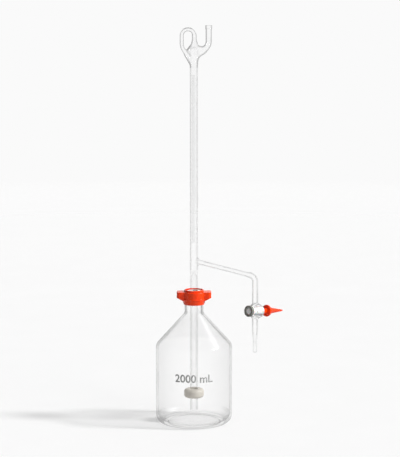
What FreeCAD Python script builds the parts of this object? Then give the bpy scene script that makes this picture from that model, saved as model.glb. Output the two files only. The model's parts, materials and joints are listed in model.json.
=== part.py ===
"""Automatic burette on a 2 litre reservoir bottle, in millimetres.

The origin is the centre of the bottle's foot, on the bench. +Z runs up the burette's axis and +X points to
the side arm. The head's loop and the side arm lie in the XZ plane. Each piece is written to its own STEP file.
"""
import FreeCAD, Part
import math
import os

V = FreeCAD.Vector
GAP = 0.02                      # air between two pieces that are pressed together

# ---- reservoir bottle -------------------------------------------------------------------------------------
BOTTLE_R = 68.0
WALL = 2.6
FOOT_CORNER = 14.0              # outer radius of the rounded foot
FOOT_RING_R = 48.0              # inner radius of the flat ring that the bottle stands on
PUNT_Z = 2.2                    # height of the hollow under the bottle
FLOOR_Z = 5.4                   # inside floor
SHOULDER_Z = 142.0              # where wall and cone would meet if the shoulder were sharp
SHOULDER_ROUND = 14.0
NECK_Z = 199.0                  # where cone and neck would meet
NECK_ROUND = 7.0
NECK_R = 16.5
NECK_BORE_R = 14.0
RIM_Z = 229.0

# ---- thread between bottle and cap ------------------------------------------------------------------------
PITCH = 5.0
RIDGE_ROOT = 1.8                # axial width of a ridge at its root
RIDGE_CREST = 0.9               # and at its crest
BOTTLE_CREST_R = 17.5
BOTTLE_THREAD_Z = 216.5
BOTTLE_THREAD_TURNS = 1.75
CAP_BORE_R = 17.8
CAP_CREST_R = 16.75
CAP_THREAD_TURNS = 1.25
THREAD_PLAY = 0.15              # axial air under the bottle's ridge when the cap is tight

# ---- coupling stack on the bottle's rim ------------------------------------------------------------------
GASKET_T = 1.5
FLANGE_R = 16.4
ADAPTER_FLANGE_T = 2.3
BUSH_FLANGE_T = 2.1
ADAPTER_R = 13.6
ADAPTER_DEPTH = 14.0            # how far the adapter reaches into the neck
GLAND_R = 9.9                   # pocket that holds the tube's O-ring
O_RING_SECTION_R = 1.3

# ---- screw cap --------------------------------------------------------------------------------------------
CAP_BOTTOM_Z = 214.0
CAP_STEP_Z = 224.0              # lower edge of the wide upper band
CAP_TOP_Z = 237.0
COLLAR_TOP_Z = 240.5
CAP_R = 21.2
CAP_FOOT_R = 18.4              # the skirt tapers in to this at its lower edge
COLLAR_R = 17.3
COLLAR_BORE_R = 15.4
ROOF_BORE_R = 14.6
WING_SPAN = 30.8                # axis to the end of a wing
WING_HALF_T = 12.0
WING_UNDER_Z = 226.5

# ---- burette tubing ---------------------------------------------------------------------------------------
TUBE_R = 7.2
TUBE_BORE_R = 6.0
FILL_R = 3.0
FILL_BORE_R = 2.0
DIP_END_Z = 22.0
RING_SEAL_Z = 276.0             # top of the seal between dip tube, fill tube and column
HEAD_Z = 640.0                  # where the column opens into the head
FILL_TOP_Z = 634.0
TUBE_PLAY = 0.08                # running play between the tube and what it slides in

# ---- head -------------------------------------------------------------------------------------------------
HEAD_WALL = 1.2
CHAMBER_R = 11.5
CHAMBER_AT = V(-0.5, 0, 662.0)
FUNNEL_REACH = 2.2              # how far under the bulb's centre the funnel meets the bulb
BRANCH_REACH = 3.9              # how far out from the centre the leg and the vent leave it
LOOP_R = 3.5                    # tube radius of the loop
LOOP_BORE_R = 2.3
LOOP_LEFT_X = -21.2
LOOP_RIGHT_X = 0.8
LOOP_ARCH_Z = 690.0
LOOP_ARCH_END = V(LOOP_RIGHT_X, 0, LOOP_ARCH_Z)
LOOP_RISE_END_Z = 676.0         # where the rising side of the loop becomes straight
LEG_END_Z = 682.0               # where the loop's return leg joins the chamber
LEG_R = 4.7                     # and the leg's radius there
TIP_END_Z = 656.0
TIP_ROOT_R = 2.2
TIP_END_R = 1.4
TIP_WALL = 0.7
VENT_START = V(18.2, 0, 668.2)   # seam between chamber and vent arm
VENT_X = 26.0
VENT_R = 5.4
VENT_BORE_R = 4.2
VENT_LIP_R = 5.9
VENT_TOP_Z = 708.0
VENT_LIP_Z = 702.0

# ---- side arm, stopcock and jet ---------------------------------------------------------------------------
ARM_DROP_DEG = 14.5
ARM_R = 4.1
ARM_BORE_R = 2.8
ARM_WIDENING = 8.0              # length over which the arm widens into the elbow
LIMB_X = 109.0
LIMB_R = 5.25
LIMB_BORE_R = 3.6
ELBOW_Z = 264.0                 # where the arm's axis would cross the limb's axis
ELBOW_ROUND = 12.0
ARM_SEAM_Z = 234.0              # seam between side arm and stopcock
JET_SEAM_Z = 176.0              # seam between stopcock and jet
COCK_Z = 201.6
COCK_TURN_DEG = 45.0            # the key's axis, turned from +X towards +Y
COCK_DROOP_DEG = 6.0            # and tipped down towards the handle
BARREL_START = -10.0            # distances along the key's axis from the limb, negative towards the nut
BARREL_END = 14.0
KEY_MID_R = 7.4
KEY_TAPER = 0.1
KEY_PLAY = 0.05
KEY_BORE_R = 1.25
KEY_SHANK_R = 5.0
KEY_SHANK_START = -16.9
TANG_HALF = 2.6
TANG_END = 27.0
WASHER_T = 1.2
KEY_RING_SECTION_R = 1.1
NUT_R = 10.1
NUT_START = -18.2
NUT_END = -13.85
NUT_RECESS_R = 7.6
NUT_RECESS_DEPTH = 1.4
HANDLE_START = 15.6
FLANGE_AT = 29.0
FLANGE_T = 6.0
HANDLE_FLANGE_R = 10.7
GRIP_ROOT_R = 6.3
GRIP_TIP_R = 1.4
GRIP_CORE_TIP_R = 1.0
HANDLE_TIP = 73.0
JET_TAPER_TOP_Z = 166.0
JET_TAPER_END_Z = 149.0
JET_TIP_Z = 127.0
JET_TIP_R = 3.5
JET_BORE_R = 0.7

# ---- steadying disc ---------------------------------------------------------------------------------------
DISC_R = 17.8
DISC_Z = 44.7
DISC_T = 16.0
DISC_ROUND = 5.5


# ---- shared shapes ----------------------------------------------------------------------------------------
def outline(points):
    """A closed wire in the XZ plane through (x, z, corner radius) points, with arcs where a radius is given."""
    count = len(points)
    ends = []
    for i, (x, z, radius) in enumerate(points):
        here = V(x, 0, z)
        if not radius:
            ends.append((here, None, here))
            continue
        back = (V(points[i - 1][0], 0, points[i - 1][1]) - here).normalize()
        on = (V(points[(i + 1) % count][0], 0, points[(i + 1) % count][1]) - here).normalize()
        half = back.getAngle(on) / 2
        reach = radius / math.tan(half)
        middle = here + (back + on).normalize() * (radius / math.sin(half) - radius)
        ends.append((here + back * reach, middle, here + on * reach))
    edges = []
    for i, (start, middle, end) in enumerate(ends):
        if middle is not None:
            edges.append(Part.Arc(start, middle, end).toShape())
        following = ends[(i + 1) % count][0]
        if (following - end).Length > 1e-6:
            edges.append(Part.makeLine(end, following))
    return Part.Wire(edges)


def turned(points, about=V(0, 0, 1)):
    """The solid that an XZ outline sweeps round the Z axis, or round the X axis."""
    return Part.Face(outline(points)).revolve(V(0, 0, 0), about, 360)


def rod(radius, start, end):
    """A cylinder between two points."""
    return Part.makeCylinder(radius, (end - start).Length, start, end - start)


def taper(start_r, start, end_r, end):
    """A cone frustum between two points."""
    return Part.makeCone(start_r, end_r, (end - start).Length, start, end - start)


def swept(path, radius):
    """A round bar of one radius along a smooth path."""
    edge = path.Edges[0]
    at = edge.valueAt(edge.FirstParameter)
    along = edge.tangentAt(edge.FirstParameter)
    ring = Part.Wire(Part.makeCircle(radius, at, along))
    return path.makePipeShell([ring], True, False)


def torus(major, minor, at, along=V(0, 0, 1)):
    return Part.makeTorus(major, minor, at, along)


def one(shape):
    """The shape's single solid, checked."""
    shape = shape.removeSplitter()
    assert len(shape.Solids) == 1, f"{len(shape.Solids)} solids"
    assert shape.isValid()
    return shape.Solids[0]


def helical_ridge(root_r, crest_r, z, turns):
    """A thread ridge: a trapezium swept along a right-hand helix that starts at height z."""
    root = RIDGE_ROOT / 2
    crest = RIDGE_CREST / 2
    helix = Part.makeHelix(PITCH, PITCH * turns, root_r)
    helix.translate(V(0, 0, z))
    corners = [V(root_r, 0, z - root), V(crest_r, 0, z - crest), V(crest_r, 0, z + crest), V(root_r, 0, z + root)]
    profile = Part.makePolygon(corners + corners[:1])
    return Part.Wire(helix.Edges).makePipeShell([profile], True, True)


# ---- bottle and coupling ----------------------------------------------------------------------------------
def reservoir_bottle():
    outer = turned([
        (0, PUNT_Z, 0), (FOOT_RING_R - 3, PUNT_Z, 2), (FOOT_RING_R, 0, 0), (BOTTLE_R, 0, FOOT_CORNER),
        (BOTTLE_R, SHOULDER_Z, SHOULDER_ROUND), (NECK_R, NECK_Z, NECK_ROUND), (NECK_R, RIM_Z, 0.8), (0, RIM_Z, 0),
    ])
    inner_r = BOTTLE_R - WALL
    cone = math.atan2(NECK_Z - SHOULDER_Z, BOTTLE_R - NECK_R)
    drop = WALL * math.tan(cone / 2)
    inner = turned([
        (0, FLOOR_Z, 0), (inner_r, FLOOR_Z, FOOT_CORNER - 1), (inner_r, SHOULDER_Z - drop, SHOULDER_ROUND - WALL),
        (NECK_BORE_R, NECK_Z - drop, NECK_ROUND + WALL), (NECK_BORE_R, RIM_Z + 1, 0), (0, RIM_Z + 1, 0),
    ])
    ridge = helical_ridge(NECK_R - 0.4, BOTTLE_CREST_R, BOTTLE_THREAD_Z, BOTTLE_THREAD_TURNS)
    return one(outer.fuse(ridge).cut(inner))


def rim_gasket():
    low = RIM_Z + GAP
    ring = Part.makeCylinder(NECK_R - 0.4, GASKET_T - GAP, V(0, 0, low))
    return one(ring.cut(Part.makeCylinder(ADAPTER_R + 0.2, GASKET_T, V(0, 0, low))))


def sealing_adapter():
    flange_z = RIM_Z + GASKET_T + GAP
    top_z = flange_z + ADAPTER_FLANGE_T
    body = turned([
        (0, RIM_Z - ADAPTER_DEPTH, 0), (ADAPTER_R - 1.6, RIM_Z - ADAPTER_DEPTH, 0),
        (ADAPTER_R, RIM_Z - ADAPTER_DEPTH + 3, 0), (ADAPTER_R, flange_z, 0), (FLANGE_R, flange_z, 0.3),
        (FLANGE_R, top_z, 0.3), (0, top_z, 0),
    ])
    bore = Part.makeCylinder(TUBE_R + TUBE_PLAY, 200, V(0, 0, 100))
    pocket = Part.makeCylinder(GLAND_R, 10, V(0, 0, o_ring_z() - O_RING_SECTION_R - 0.03))
    return one(body.cut(bore).cut(pocket))


def o_ring_z():
    """Height of the tube's O-ring: it stands level with the top of the adapter's flange, less a little."""
    return RIM_Z + GASKET_T + ADAPTER_FLANGE_T - O_RING_SECTION_R - 0.5


def tube_o_ring():
    return torus(TUBE_R + 0.03 + O_RING_SECTION_R, O_RING_SECTION_R, V(0, 0, o_ring_z()))


def gland_bush():
    flange_z = RIM_Z + GASKET_T + ADAPTER_FLANGE_T + 3 * GAP
    roof_z = CAP_TOP_Z - 2
    nose_z = o_ring_z() + O_RING_SECTION_R + 0.05
    lip_z = CAP_TOP_Z + 0.15
    top_z = COLLAR_TOP_Z - 1.2
    body = turned([
        (0, nose_z, 0), (GLAND_R - 0.2, nose_z, 0), (GLAND_R - 0.2, flange_z, 0), (FLANGE_R, flange_z, 0.3),
        (FLANGE_R, roof_z - 0.05, 0.3), (ROOF_BORE_R - 0.2, roof_z - 0.05, 0), (ROOF_BORE_R - 0.2, lip_z, 0),
        (COLLAR_BORE_R - 0.4, lip_z, 0), (ROOF_BORE_R - 0.4, lip_z + 1.1, 0), (13.0, lip_z + 1.1, 0),
        (12.4, CAP_TOP_Z - 1.2, 0.6), (10.4, CAP_TOP_Z - 1.2, 0.6), (9.8, top_z, 0.5), (0, top_z, 0),
    ])
    return one(body.cut(Part.makeCylinder(TUBE_R + TUBE_PLAY, 60, V(0, 0, nose_z - 5))))


def cap_wing(side):
    """One wing: a thick plate that leans in under its outer end, with rounded outer corners."""
    web = Part.Face(outline([
        (0, CAP_STEP_Z - 2, 0), (side * CAP_R, CAP_STEP_Z - 2, 0), (side * (WING_SPAN - 3), WING_UNDER_Z - 0.6, 2),
        (side * WING_SPAN, WING_UNDER_Z, 0.8), (side * WING_SPAN, CAP_TOP_Z, 1.5), (0, CAP_TOP_Z, 0),
    ]))
    web.translate(V(0, -WING_HALF_T, 0))
    plate = web.extrude(V(0, 2 * WING_HALF_T, 0))
    plan = Part.makeBox(WING_SPAN + 1, 2 * WING_HALF_T, 40, V(0, -WING_HALF_T, CAP_BOTTOM_Z - 5))
    upright = [e for e in plan.Edges if e.BoundBox.ZLength > 30 and e.BoundBox.XMin > 1]
    plan = plan.makeFillet(5.0, upright)
    if side < 0:
        plan = plan.mirror(V(0, 0, 0), V(1, 0, 0))
    plan.translate(V(-side, 0, 0))
    return plate.common(plan)


def screw_cap():
    drum = turned([
        (0, CAP_BOTTOM_Z, 0), (CAP_FOOT_R, CAP_BOTTOM_Z, 0.5), (CAP_R - 0.2, CAP_STEP_Z - 1.8, 0),
        (CAP_R + 0.6, CAP_STEP_Z - 0.2, 0.4), (CAP_R + 0.6, CAP_STEP_Z + 0.8, 0.4), (CAP_R, CAP_STEP_Z + 1.4, 0),
        (CAP_R, CAP_TOP_Z, 1.2), (COLLAR_R, CAP_TOP_Z, 0), (COLLAR_R, COLLAR_TOP_Z, 0.6), (0, COLLAR_TOP_Z, 0),
    ])
    roof_z = CAP_TOP_Z - 2
    hollow = Part.makeCylinder(CAP_BORE_R, roof_z - CAP_BOTTOM_Z + 1, V(0, 0, CAP_BOTTOM_Z - 1))
    opening = Part.makeCylinder(ROOF_BORE_R, 20, V(0, 0, roof_z - 1))
    collar_bore = Part.makeCylinder(COLLAR_BORE_R, 10, V(0, 0, CAP_TOP_Z))
    shell = drum.fuse([cap_wing(1), cap_wing(-1)]).cut(hollow).cut(opening).cut(collar_bore)
    ridge_z = BOTTLE_THREAD_Z - RIDGE_ROOT - THREAD_PLAY + PITCH / 2
    ridge = helical_ridge(CAP_BORE_R + 0.4, CAP_CREST_R, ridge_z, CAP_THREAD_TURNS)
    ridge.rotate(V(0, 0, 0), V(0, 0, 1), 180)
    return one(shell.fuse(ridge))


# ---- burette glasswork ------------------------------------------------------------------------------------
def dip_tube():
    """The tube in the bottle. At its top the bore closes to the fill tube's: this web is the ring seal."""
    outer = Part.makeCylinder(TUBE_R, RING_SEAL_Z - DIP_END_Z, V(0, 0, DIP_END_Z))
    bore = turned([
        (0, DIP_END_Z - 1, 0), (TUBE_BORE_R, DIP_END_Z - 1, 0), (TUBE_BORE_R, RING_SEAL_Z - 12, 4),
        (FILL_BORE_R, RING_SEAL_Z - 5, 2), (FILL_BORE_R, RING_SEAL_Z + 1, 0), (0, RING_SEAL_Z + 1, 0),
    ])
    return one(outer.cut(bore))


def fill_tube():
    low = V(0, 0, RING_SEAL_Z + GAP)
    high = V(0, 0, FILL_TOP_Z - GAP)
    return one(rod(FILL_R, low, high).cut(rod(FILL_BORE_R, low - V(0, 0, 1), high + V(0, 0, 1))))


def arm_line():
    """The arm's axis direction, and the point where it leaves the column's axis."""
    drop = math.radians(ARM_DROP_DEG)
    along = V(math.cos(drop), 0, -math.sin(drop))
    start = V(0, 0, ELBOW_Z + LIMB_X * math.tan(drop))
    return along, start


def burette_tube():
    low = V(0, 0, RING_SEAL_Z + GAP)
    high = V(0, 0, HEAD_Z - GAP)
    wall = rod(TUBE_R, low, high).cut(rod(TUBE_BORE_R, low - V(0, 0, 1), high + V(0, 0, 1)))
    along, start = arm_line()
    return one(wall.cut(rod(ARM_BORE_R, start, start + along * 12)))


def head_skin(inset):
    """The chamber's outline as a solid: bulb, funnel, leg and vent root, drawn in by inset for the inside."""
    bulb_r = CHAMBER_R - inset
    past = 1.0 if inset else 0

    def branch(to, to_r, reach):
        """A cone from the bulb's surface to a ring at another point, and a little past it for the inside."""
        way = (to - CHAMBER_AT).normalize()
        start = CHAMBER_AT + way * reach
        start_r = math.sqrt(bulb_r ** 2 - reach ** 2)
        lean = (to_r - inset - start_r) / (to - start).Length
        return taper(start_r, start, to_r - inset + lean * past, to + way * past)

    funnel_top = V(0, 0, CHAMBER_AT.z - FUNNEL_REACH)
    funnel = taper(TUBE_R - inset, V(0, 0, HEAD_Z + GAP - past), bulb_r * 0.97, funnel_top)
    leg = branch(V(LOOP_RIGHT_X, 0, LEG_END_Z + 1), LEG_R - 0.3, BRANCH_REACH)
    root = branch(VENT_START, VENT_R, BRANCH_REACH)
    return Part.makeSphere(bulb_r, CHAMBER_AT).fuse([funnel, leg, root])


def vent_way():
    """Direction in which the vent arm leaves the chamber."""
    return (VENT_START - CHAMBER_AT).normalize()


def loop_path():
    """Centre line of the loop: out of the fill tube, up the left side, over the arch and down to the chamber."""
    rise = Part.BSplineCurve()
    rise.interpolate(
        Points=[V(0, 0, FILL_TOP_Z), V(-4.4, 0, 644.5), V(-13.6, 0, 658), V(LOOP_LEFT_X, 0, LOOP_RISE_END_Z)],
        Tangents=[V(0, 0, 14), V(-8, 0, 12), V(-8, 0, 13), V(0, 0, 16)],
        TangentFlags=[True, True, True, True],
    )
    radius = (LOOP_RIGHT_X - LOOP_LEFT_X) / 2
    left = V(LOOP_LEFT_X, 0, LOOP_ARCH_Z)
    arch = Part.Arc(left, V(LOOP_LEFT_X + radius, 0, LOOP_ARCH_Z + radius), LOOP_ARCH_END)
    straight = Part.makeLine(V(LOOP_LEFT_X, 0, LOOP_RISE_END_Z), left)
    return Part.Wire([rise.toShape(), straight, arch.toShape()])


def overflow_loop():
    """The loop, with its return leg and the fine zero tip that hangs inside the chamber."""
    path = loop_path()
    leg_end = V(LOOP_RIGHT_X, 0, LEG_END_Z + GAP)
    tip_end = V(LOOP_RIGHT_X, 0, TIP_END_Z)
    leg = taper(LOOP_R, LOOP_ARCH_END, LEG_R, leg_end)
    tip = taper(TIP_ROOT_R, leg_end + V(0, 0, 1.5), TIP_END_R, tip_end)
    inlet = rod(LOOP_BORE_R, LOOP_ARCH_END, LOOP_ARCH_END - V(0, 0, 3))
    tip_bore = taper(TIP_ROOT_R - TIP_WALL, LOOP_ARCH_END, TIP_END_R - TIP_WALL, tip_end)
    bore = swept(path, LOOP_BORE_R).fuse([inlet, tip_bore])
    return one(swept(path, LOOP_R).fuse([leg, tip]).cut(bore))


def zero_head():
    above = Part.makeBox(60, 60, 40, V(-30, -30, LEG_END_Z))
    beyond = rod(20, VENT_START, VENT_START + vent_way() * 5)
    shell = head_skin(0).cut(head_skin(HEAD_WALL)).cut(swept(loop_path(), LOOP_R + GAP)).cut(above).cut(beyond)
    return one(max(shell.Solids, key=lambda solid: solid.Volume))


def vent_path():
    """From the chamber's shoulder, bending up to the open end."""
    start = VENT_START
    way = vent_way()
    corner = start + way * ((VENT_X - start.x) / way.x)
    reach = (corner - start).Length * 0.9
    bend_start = corner - way * reach
    bend_end = corner + V(0, 0, reach)
    half = (math.pi / 2 - math.asin(way.z)) / 2
    radius = reach / math.tan(half)
    to_centre = (V(0, 0, 1) - way).normalize()
    middle = corner + to_centre * (radius / math.cos(half) - radius)
    bend = Part.Arc(bend_start, middle, bend_end).toShape()
    first = Part.makeLine(start, bend_start)
    last = Part.makeLine(bend_end, V(VENT_X, 0, VENT_TOP_Z))
    return Part.Wire([first, bend, last])


def vent_arm():
    path = vent_path()
    lip = Part.makeCylinder(VENT_LIP_R, VENT_TOP_Z - VENT_LIP_Z, V(VENT_X, 0, VENT_LIP_Z))
    top = V(VENT_X, 0, VENT_TOP_Z)
    bore = swept(path, VENT_BORE_R).fuse(rod(VENT_BORE_R, top - V(0, 0, 2), top + V(0, 0, 1)))
    tube = swept(path, VENT_R).fuse(lip).cut(bore)
    step = rod(20, VENT_START - vent_way() * 5, VENT_START + vent_way() * GAP)
    return one(tube.cut(step))


def side_arm():
    """From the column down to the elbow, a little wider from the elbow on, and down to the stopcock's seam."""
    along, start = arm_line()
    turn = math.radians(90 - ARM_DROP_DEG)
    corner = V(LIMB_X, 0, ELBOW_Z)
    reach = ELBOW_ROUND * math.tan(turn / 2)
    bend_start = corner - along * reach
    bend_end = corner - V(0, 0, reach)
    to_centre = (V(0, 0, -1) - along).normalize()
    middle = corner + to_centre * (ELBOW_ROUND / math.cos(turn / 2) - ELBOW_ROUND)
    bend = Part.Arc(bend_start, middle, bend_end).toShape()
    path = Part.Wire([bend, Part.makeLine(bend_end, V(LIMB_X, 0, ARM_SEAM_Z))])
    widening = bend_start - along * ARM_WIDENING

    def bar(arm_r, limb_r):
        return rod(arm_r, start, widening).fuse([taper(arm_r, widening, limb_r, bend_start), swept(path, limb_r)])

    tube = bar(ARM_R, LIMB_R).cut(bar(ARM_BORE_R, LIMB_BORE_R))
    column = rod(TUBE_R + GAP, start - V(0, 0, 50), start + V(0, 0, 50))
    return one(tube.cut(column))


# ---- stopcock: drawn along +X, then set on the key's axis --------------------------------------------------
def on_key_axis(shape):
    """Move a shape drawn round the X axis to the stopcock's place and direction."""
    shape = shape.copy()
    shape.rotate(V(0, 0, 0), V(0, 1, 0), COCK_DROOP_DEG)
    shape.rotate(V(0, 0, 0), V(0, 0, 1), COCK_TURN_DEG)
    shape.translate(V(LIMB_X, 0, COCK_Z))
    return shape


def spun(points):
    """An outline of (distance along the key's axis, radius, corner radius), turned about that axis."""
    return turned(points, V(1, 0, 0))


def key_r(at):
    return KEY_MID_R + KEY_TAPER * at


def stopcock_barrel():
    body = on_key_axis(spun([
        (BARREL_START, 0, 0), (BARREL_START, 9.6, 0.8), (-5.4, 10.2, 0.8), (-4.6, 12.2, 0.8), (6.0, 14.2, 0.8),
        (7.0, 11.8, 0.8), (BARREL_END, 11.2, 0.8), (BARREL_END, 0, 0),
    ]))
    limbs = rod(LIMB_R, V(LIMB_X, 0, JET_SEAM_Z), V(LIMB_X, 0, ARM_SEAM_Z - GAP))
    plug = on_key_axis(taper(
        key_r(BARREL_START - 1) + KEY_PLAY, V(BARREL_START - 1, 0, 0), key_r(BARREL_END + 1) + KEY_PLAY,
        V(BARREL_END + 1, 0, 0)))
    at = V(LIMB_X, 0, COCK_Z)
    drilled = rod(KEY_BORE_R, V(LIMB_X, 0, JET_SEAM_Z - 1), V(LIMB_X, 0, ARM_SEAM_Z + 1))
    upper = rod(LIMB_BORE_R, at + V(0, 0, 15), V(LIMB_X, 0, ARM_SEAM_Z + 1))
    lower = rod(LIMB_BORE_R, at - V(0, 0, 15), V(LIMB_X, 0, JET_SEAM_Z - 1))
    upper_cone = taper(KEY_BORE_R, at + V(0, 0, 10.5), LIMB_BORE_R, at + V(0, 0, 15))
    lower_cone = taper(KEY_BORE_R, at - V(0, 0, 10.5), LIMB_BORE_R, at - V(0, 0, 15))
    return one(body.fuse(limbs).cut(plug).cut(drilled.fuse([upper, lower, upper_cone, lower_cone])))


def stopcock_key():
    """Tapered key with a threaded shank for the nut, a square tang for the handle and a cross bore, closed."""
    body = spun([
        (KEY_SHANK_START, 0, 0), (KEY_SHANK_START, KEY_SHANK_R, 0.4), (BARREL_START - 0.3, KEY_SHANK_R, 0),
        (BARREL_START - 0.3, key_r(BARREL_START - 0.3), 0), (BARREL_END + 1, key_r(BARREL_END + 1), 0.4),
        (BARREL_END + 1, 0, 0),
    ])
    tang = Part.makeBox(TANG_END - BARREL_END, 2 * TANG_HALF, 2 * TANG_HALF, V(BARREL_END, -TANG_HALF, -TANG_HALF))
    key = on_key_axis(body.fuse(tang))
    bore = rod(KEY_BORE_R, V(LIMB_X, 0, COCK_Z - 15), V(LIMB_X, 0, COCK_Z + 15))
    bore.rotate(V(LIMB_X, 0, COCK_Z), on_key_axis(Part.Vertex(1, 0, 0)).Point - V(LIMB_X, 0, COCK_Z), 90)
    return one(key.cut(bore))


def stopcock_handle():
    """Hub, finger disc and a tapered grip with four ribs."""
    body = spun([
        (HANDLE_START, 0, 0), (HANDLE_START, 5.4, 0.5), (FLANGE_AT - 1, 4.6, 0.8), (FLANGE_AT, HANDLE_FLANGE_R, 0.9),
        (FLANGE_AT + 3, HANDLE_FLANGE_R, 1.0), (FLANGE_AT + FLANGE_T, 7.4, 1.0), (FLANGE_AT + FLANGE_T + 2, 4.9, 1.0),
        (HANDLE_TIP, GRIP_CORE_TIP_R, 0.6), (HANDLE_TIP, 0, 0),
    ])
    root = FLANGE_AT + FLANGE_T - 1
    web = Part.Face(outline([
        (root, 0, 0), (root, GRIP_ROOT_R, 0), (HANDLE_TIP - 2, GRIP_TIP_R, 0.9), (HANDLE_TIP - 2, 0, 0),
    ]))
    rib = web.extrude(V(0, 1.6, 0))
    rib.translate(V(0, -0.8, 0))
    ribs = []
    for turn in range(4):
        copy = rib.copy()
        copy.rotate(V(0, 0, 0), V(1, 0, 0), 90 * turn)
        ribs.append(copy)
    side = 2 * (TANG_HALF + GAP)
    socket = Part.makeBox(TANG_END - HANDLE_START + 2, side, side, V(HANDLE_START - 1, -side / 2, -side / 2))
    return one(on_key_axis(body.fuse(ribs).cut(socket)))


def key_washer():
    end = BARREL_START - 0.35
    ring = spun([(end - WASHER_T, 5.05, 0), (end - WASHER_T, 9.0, 0.2), (end, 9.0, 0.2), (end, 5.05, 0)])
    return one(on_key_axis(ring))


def key_o_ring():
    at = BARREL_START - 0.35 - WASHER_T - 0.03 - KEY_RING_SECTION_R
    ring = torus(KEY_SHANK_R + 0.05 + KEY_RING_SECTION_R, KEY_RING_SECTION_R, V(at, 0, 0), V(1, 0, 0))
    return one(on_key_axis(ring))


def retaining_nut():
    """Round nut with a recessed face and shallow grip scallops round its rim."""
    body = spun([
        (NUT_START, NUT_RECESS_R, 0.3), (NUT_START, NUT_R, 0.9), (NUT_END, NUT_R, 0.5),
        (NUT_END, KEY_SHANK_R + 0.06, 0), (NUT_START + NUT_RECESS_DEPTH, KEY_SHANK_R + 0.06, 0),
        (NUT_START + NUT_RECESS_DEPTH, NUT_RECESS_R, 0),
    ])
    for turn in range(16):
        angle = math.radians(turn * 22.5)
        at = V(NUT_START + 1.0, (NUT_R + 0.55) * math.cos(angle), (NUT_R + 0.55) * math.sin(angle))
        body = body.cut(Part.makeCylinder(0.9, NUT_END - NUT_START, at, V(1, 0, 0)))
    return one(on_key_axis(body))


def delivery_jet():
    outer = turned([
        (0, JET_TIP_Z, 0), (JET_TIP_R, JET_TIP_Z, 0), (JET_TIP_R, JET_TAPER_END_Z, 20), (LIMB_R, JET_TAPER_TOP_Z, 20),
        (LIMB_R, JET_SEAM_Z - GAP, 0), (0, JET_SEAM_Z - GAP, 0),
    ])
    bore = turned([
        (0, JET_TIP_Z - 1, 0), (JET_BORE_R, JET_TIP_Z - 1, 0), (JET_BORE_R, JET_TIP_Z + 4, 0),
        (1.6, JET_TAPER_END_Z, 0), (LIMB_BORE_R, JET_TAPER_TOP_Z, 0), (LIMB_BORE_R, JET_SEAM_Z + 1, 0),
        (0, JET_SEAM_Z + 1, 0),
    ])
    jet = outer.cut(bore)
    jet.translate(V(LIMB_X, 0, 0))
    return one(jet)


def steadying_disc():
    bore_r = TUBE_R + 0.05
    return one(turned([
        (bore_r, DISC_Z, 0), (DISC_R, DISC_Z, DISC_ROUND), (DISC_R, DISC_Z + DISC_T, DISC_ROUND),
        (bore_r, DISC_Z + DISC_T, 0),
    ]))


PIECES = [
    reservoir_bottle, rim_gasket, sealing_adapter, tube_o_ring, gland_bush, screw_cap, dip_tube, fill_tube,
    burette_tube, zero_head, overflow_loop, vent_arm, side_arm, stopcock_barrel, delivery_jet, stopcock_key,
    stopcock_handle, key_washer, key_o_ring, retaining_nut, steadying_disc,
]

os.makedirs("parts", exist_ok=True)
for piece in PIECES:
    shape = piece()
    shape.exportStep(f"parts/{piece.__name__}.step")
    print(piece.__name__, "volume", round(shape.Volume, 1), "valid", shape.isValid())
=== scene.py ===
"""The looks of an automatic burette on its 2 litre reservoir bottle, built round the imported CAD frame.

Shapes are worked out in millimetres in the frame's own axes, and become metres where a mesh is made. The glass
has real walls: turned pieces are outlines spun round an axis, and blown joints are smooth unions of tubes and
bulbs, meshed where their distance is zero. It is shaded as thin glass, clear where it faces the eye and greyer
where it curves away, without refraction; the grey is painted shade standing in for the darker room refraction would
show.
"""
import json
import math

import bmesh
import bpy
import numpy as np
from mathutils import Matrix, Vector


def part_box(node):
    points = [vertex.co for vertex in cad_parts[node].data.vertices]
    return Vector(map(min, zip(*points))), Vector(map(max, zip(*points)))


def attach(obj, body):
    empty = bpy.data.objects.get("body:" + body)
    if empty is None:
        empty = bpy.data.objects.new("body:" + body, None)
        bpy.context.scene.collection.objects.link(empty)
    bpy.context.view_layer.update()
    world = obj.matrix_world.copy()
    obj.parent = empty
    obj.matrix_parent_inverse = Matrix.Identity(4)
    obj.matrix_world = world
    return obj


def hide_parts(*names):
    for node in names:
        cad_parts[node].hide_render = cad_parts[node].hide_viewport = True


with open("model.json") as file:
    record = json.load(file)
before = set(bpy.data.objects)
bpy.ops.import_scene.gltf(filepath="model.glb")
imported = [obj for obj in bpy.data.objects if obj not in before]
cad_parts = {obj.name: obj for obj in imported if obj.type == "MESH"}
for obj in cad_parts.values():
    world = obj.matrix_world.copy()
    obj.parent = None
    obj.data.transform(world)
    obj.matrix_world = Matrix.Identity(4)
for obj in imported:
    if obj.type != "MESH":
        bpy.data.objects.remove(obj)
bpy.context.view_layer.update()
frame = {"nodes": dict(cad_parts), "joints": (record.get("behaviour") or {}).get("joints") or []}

MM = 0.001
SEAM = 1                        # material index of a face where two glass pieces are fused: it isn't seen
INSIDE = 2                      # of a tube inside the head's hollow
WALL_FACE = 3                   # of the inner face of the head's own wall
MOUTH = 4                       # and of the edges of the vent's mouth


def span(node):
    """Lowest and highest corner of a CAD node, in millimetres."""
    low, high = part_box(node)
    return low / MM, high / MM


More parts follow.
